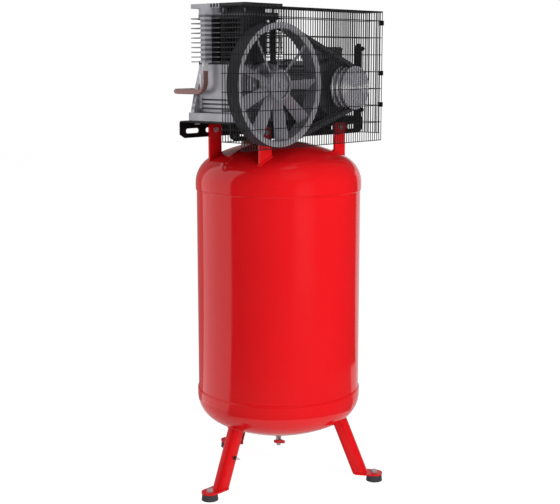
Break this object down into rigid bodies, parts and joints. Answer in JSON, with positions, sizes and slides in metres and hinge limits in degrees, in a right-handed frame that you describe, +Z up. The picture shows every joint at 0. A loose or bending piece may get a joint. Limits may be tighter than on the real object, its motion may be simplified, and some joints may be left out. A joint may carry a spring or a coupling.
{
  "type": "vertical tank compressor",
  "caption": "Upright air receiver on splayed legs with a belt-driven piston pump, an electric motor and a wire belt guard on a slotted base plate.",
  "frame": {"origin": "floor level under the middle of the footprint, which spans the guard, the base plate and the feet", "axes": "+Z up along the tank, -Y the side the belt guard faces, +X from the pump towards the motor"},
  "size_m": [0.6392, 0.61, 1.451],
  "materials": {
    "red_paint": "gloss",
    "black_paint": "satin",
    "rubber": "matte",
    "steel": "satin",
    "cast_grey": "cast",
    "fin_metal": "cast",
    "iron": "machined",
    "copper": "drawn",
    "brass": "machined",
    "motor_paint": "satin",
    "black_plastic": "matte",
    "red_plastic": "gloss",
    "clear": "clear"
  },
  "bodies": {
    "tank": {"tank_shell": "red_paint", "tank_top_head": "red_paint", "tank_bottom_head": "red_paint", "left_leg": "red_paint", "right_leg": "red_paint", "rear_leg": "red_paint", "rubber_feet": "rubber", "drain_valve": "steel", "support_posts": "red_paint", "base_plate": "black_paint", "frame_bolts": "steel", "crankcase": "cast_grey", "front_cover": "cast_grey", "sight_glass": "clear", "oil_filler": "black_plastic", "ball_bearings": "steel", "seals": "rubber", "crank_throw": "iron", "con_rods": "steel", "pistons": "fin_metal", "piston_fittings": "steel", "cylinder_block": "fin_metal", "valve_plate": "steel", "cylinder_head": "fin_metal", "pump_bolts": "steel", "air_filter": "black_plastic", "discharge_elbow": "brass", "delivery_pipe": "copper", "check_valve": "brass", "motor_frame": "motor_paint", "motor_end_shields": "motor_paint", "fan_cover": "motor_paint", "terminal_box": "motor_paint", "terminal_lid": "motor_paint", "stator_core": "steel", "drive_belts": "rubber", "guard_front": "black_paint", "guard_back": "black_paint", "guard_left": "black_paint", "guard_right": "black_paint", "guard_top_panel": "black_paint", "guard_fixings": "black_paint", "manifold": "brass", "pressure_switch": "black_plastic", "switch_cover": "black_plastic", "pressure_gauge": "black_plastic", "gauge_glass": "clear", "safety_valve": "brass", "outlet_valve": "steel"},
    "flywheel": {"flywheel": "iron", "crank_nose": "steel", "flywheel_bolt": "steel"},
    "rotor": {"rotor": "steel", "motor_fan": "black_plastic", "motor_pulley": "iron"},
    "drain_lever": {"drain_lever": "red_plastic"},
    "outlet_lever": {"outlet_lever": "red_plastic"},
    "switch_knob": {"switch_knob": "red_plastic"},
    "gauge_needle": {"gauge_needle": "black_plastic"},
    "safety_ring": {"safety_ring": "steel"}
  },
  "joints": [
    {"name": "flywheel_spin", "type": "hinge", "parent": "tank", "child": "flywheel", "pos_m": [-0.1334, -0.1559, 1.223], "axis": [0, 1, 0], "continuous": true},
    {"name": "rotor_spin", "type": "hinge", "parent": "tank", "child": "rotor", "pos_m": [0.2026, -0.0159, 1.21], "axis": [0, 1, 0], "continuous": true},
    {"name": "drain_turn", "type": "hinge", "parent": "tank", "child": "drain_lever", "pos_m": [0.0346, -0.0359, 0.10611], "axis": [0, -1, 0], "range_deg": [0, 90]},
    {"name": "outlet_turn", "type": "hinge", "parent": "tank", "child": "outlet_lever", "pos_m": [0.25316, 0.19816, 0.81], "axis": [0, 0, 1], "range_deg": [0, 90]},
    {"name": "switch_pull", "type": "slide", "parent": "tank", "child": "switch_knob", "axis": [0, 0, 1], "range_m": [0, 0.006]},
    {"name": "needle_sweep", "type": "hinge", "parent": "tank", "child": "gauge_needle", "pos_m": [0.24247, 0.27021, 0.79], "axis": [-0.5878, -0.809, 0], "range_deg": [0, 270]},
    {"name": "ring_pull", "type": "slide", "parent": "tank", "child": "safety_ring", "axis": [-0.809, 0.5878, 0], "range_m": [0, 0.002]}
  ],
  "couplings": [
    {"joint": "rotor_spin", "follows": "flywheel_spin", "ratio": 2.7642}
  ]
}
